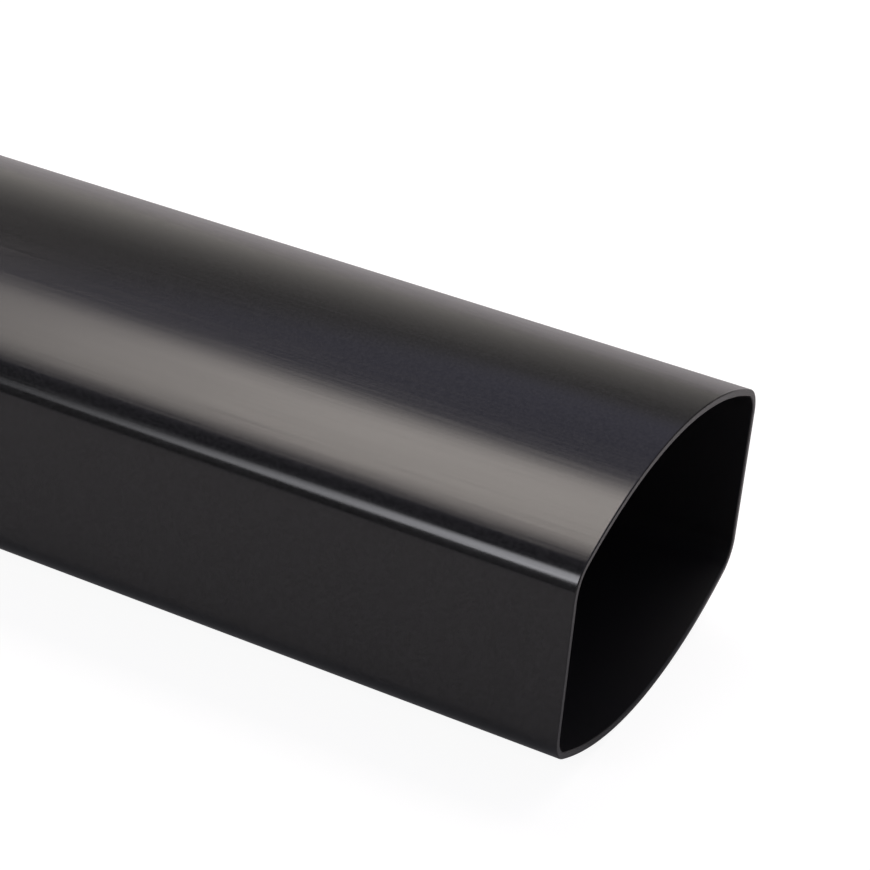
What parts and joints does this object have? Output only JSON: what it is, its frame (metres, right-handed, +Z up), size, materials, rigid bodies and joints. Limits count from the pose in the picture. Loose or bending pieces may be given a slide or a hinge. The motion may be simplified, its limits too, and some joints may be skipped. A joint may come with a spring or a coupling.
{
  "type": "plastic downpipe",
  "caption": "Straight extruded rainwater downpipe with flat sides, gently bowed faces, rounded corners and a thin even wall, cut square and plain at the ends.",
  "frame": {"origin": "on the floor, under the middle of the pipe's length and width", "axes": "+Y runs along the pipe, +Z is up across the bowed faces, and the flats face -X and +X"},
  "size_m": [0.105, 2, 0.076],
  "materials": {
    "pvc": "satin"
  },
  "bodies": {
    "root": {"downpipe": "pvc"}
  },
  "joints": []
}
